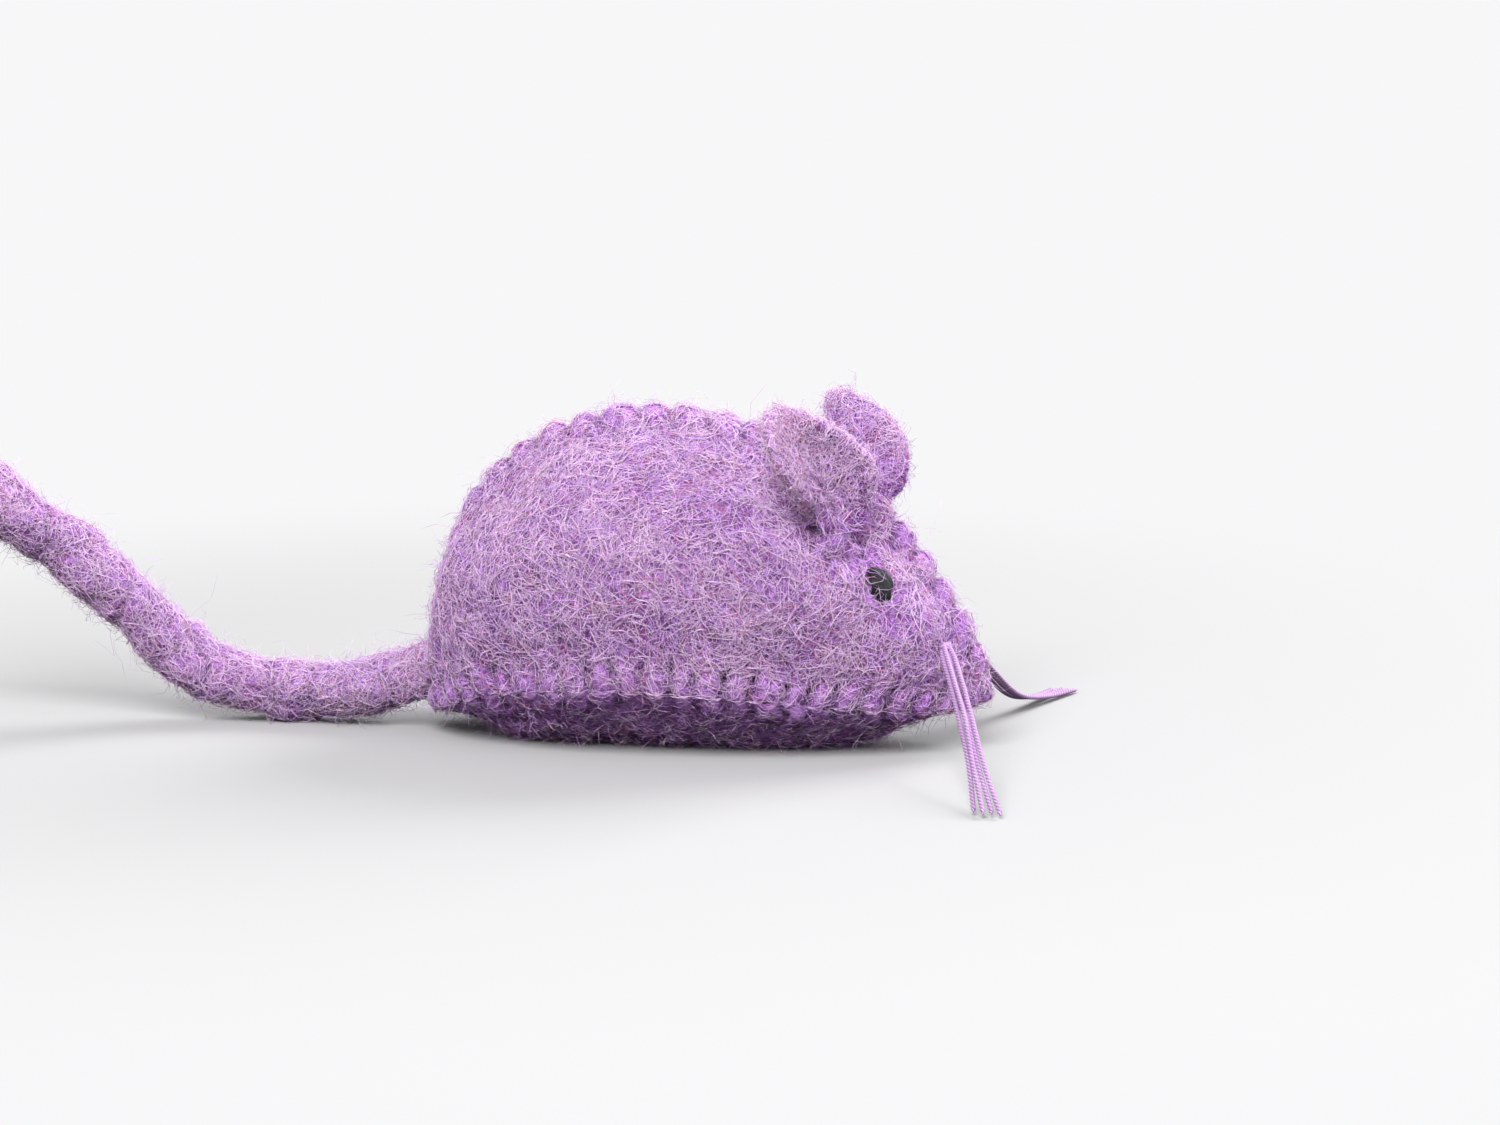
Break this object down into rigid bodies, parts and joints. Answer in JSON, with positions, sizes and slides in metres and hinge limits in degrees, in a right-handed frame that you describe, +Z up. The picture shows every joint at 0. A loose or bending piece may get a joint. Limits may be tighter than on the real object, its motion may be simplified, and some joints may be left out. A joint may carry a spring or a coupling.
{
  "type": "felt catnip mouse",
  "caption": "Stuffed felt mouse cat toy with whip-stitched side and belly panels, petal ears, embroidered eyes, thread whiskers and a bending felted tail.",
  "frame": {"origin": "on the floor plane, under the middle of the belly's resting flat", "axes": "+X towards the nose, +Y towards the mouse's left, +Z up"},
  "size_m": [0.1719, 0.0901, 0.0587],
  "materials": {
    "felt": "fuzzy wool felt",
    "sewing_thread": "sewing thread",
    "eye_thread": "embroidery thread",
    "whisker_thread": "twisted glossy thread",
    "stuffing": "loose fibre",
    "catnip": "dried leaf in a pouch"
  },
  "bodies": {
    "mouse_body": {"right_side_panel": "felt", "left_side_panel": "felt", "belly_panel": "felt", "back_seam_thread": "sewing_thread", "belly_seam_thread": "sewing_thread", "right_ear_thread": "sewing_thread", "left_ear_thread": "sewing_thread", "tail_thread": "sewing_thread", "right_eye": "eye_thread", "left_eye": "eye_thread", "right_whisker_knot": "whisker_thread", "left_whisker_knot": "whisker_thread", "whisker_core": "whisker_thread", "rear_stuffing": "stuffing", "front_stuffing": "stuffing", "catnip_pouch": "catnip"},
    "right_ear_flap": {"right_ear": "felt"},
    "left_ear_flap": {"left_ear": "felt"},
    "right_whiskers": {"right_whisker_1": "whisker_thread", "right_whisker_2": "whisker_thread", "right_whisker_3": "whisker_thread", "right_whisker_4": "whisker_thread"},
    "left_whiskers": {"left_whisker_1": "whisker_thread", "left_whisker_2": "whisker_thread", "left_whisker_3": "whisker_thread", "left_whisker_4": "whisker_thread"},
    "tail_1": {"tail_base": "felt"},
    "tail_2": {"tail_middle": "felt"},
    "tail_3": {"tail_upper": "felt"},
    "tail_4": {"tail_tip": "felt"}
  },
  "joints": [
    {"name": "right_ear_flop", "type": "hinge", "parent": "mouse_body", "child": "right_ear_flap", "pos_m": [0.01999, -0.00896, 0.03383], "axis": [0.6852, 0.728, 0.023], "range_deg": [-20, 25], "stiffness_Nm_per_rad": 0.002},
    {"name": "left_ear_flop", "type": "hinge", "parent": "mouse_body", "child": "left_ear_flap", "pos_m": [0.01999, 0.00896, 0.03383], "axis": [-0.7863, 0.5999, 0.1479], "range_deg": [-20, 25], "stiffness_Nm_per_rad": 0.002},
    {"name": "right_whisker_swing", "type": "hinge", "parent": "mouse_body", "child": "right_whiskers", "pos_m": [0.03446, -0.00565, 0.01535], "axis": [0, 0, 1], "range_deg": [-14, 14], "stiffness_Nm_per_rad": 0.00005},
    {"name": "left_whisker_swing", "type": "hinge", "parent": "mouse_body", "child": "left_whiskers", "pos_m": [0.03446, 0.00565, 0.01535], "axis": [0, 0, 1], "range_deg": [-14, 14], "stiffness_Nm_per_rad": 0.00005},
    {"name": "tail_lift", "type": "hinge", "parent": "mouse_body", "child": "tail_1", "pos_m": [-0.04058, 0, 0.0081], "axis": [0, 1, 0], "range_deg": [0, 40], "stiffness_Nm_per_rad": 0.004},
    {"name": "tail_sway", "type": "hinge", "parent": "tail_1", "child": "tail_2", "pos_m": [-0.06911, -0.00085, 0.00542], "axis": [0.2857, 0.0393, 0.9575], "range_deg": [-22, 22], "stiffness_Nm_per_rad": 0.003},
    {"name": "tail_sway_upper", "type": "hinge", "parent": "tail_2", "child": "tail_3", "pos_m": [-0.08885, -0.00457, 0.01996], "axis": [0.6192, 0.164, 0.7679], "range_deg": [-22, 22]},
    {"name": "tail_sway_tip", "type": "hinge", "parent": "tail_3", "child": "tail_4", "pos_m": [-0.10686, -0.00985, 0.03655], "axis": [0.6633, 0.1964, 0.7221], "range_deg": [-22, 22]}
  ],
  "couplings": [
    {"joint": "tail_sway_upper", "follows": "tail_sway", "ratio": 1},
    {"joint": "tail_sway_tip", "follows": "tail_sway", "ratio": 1}
  ]
}
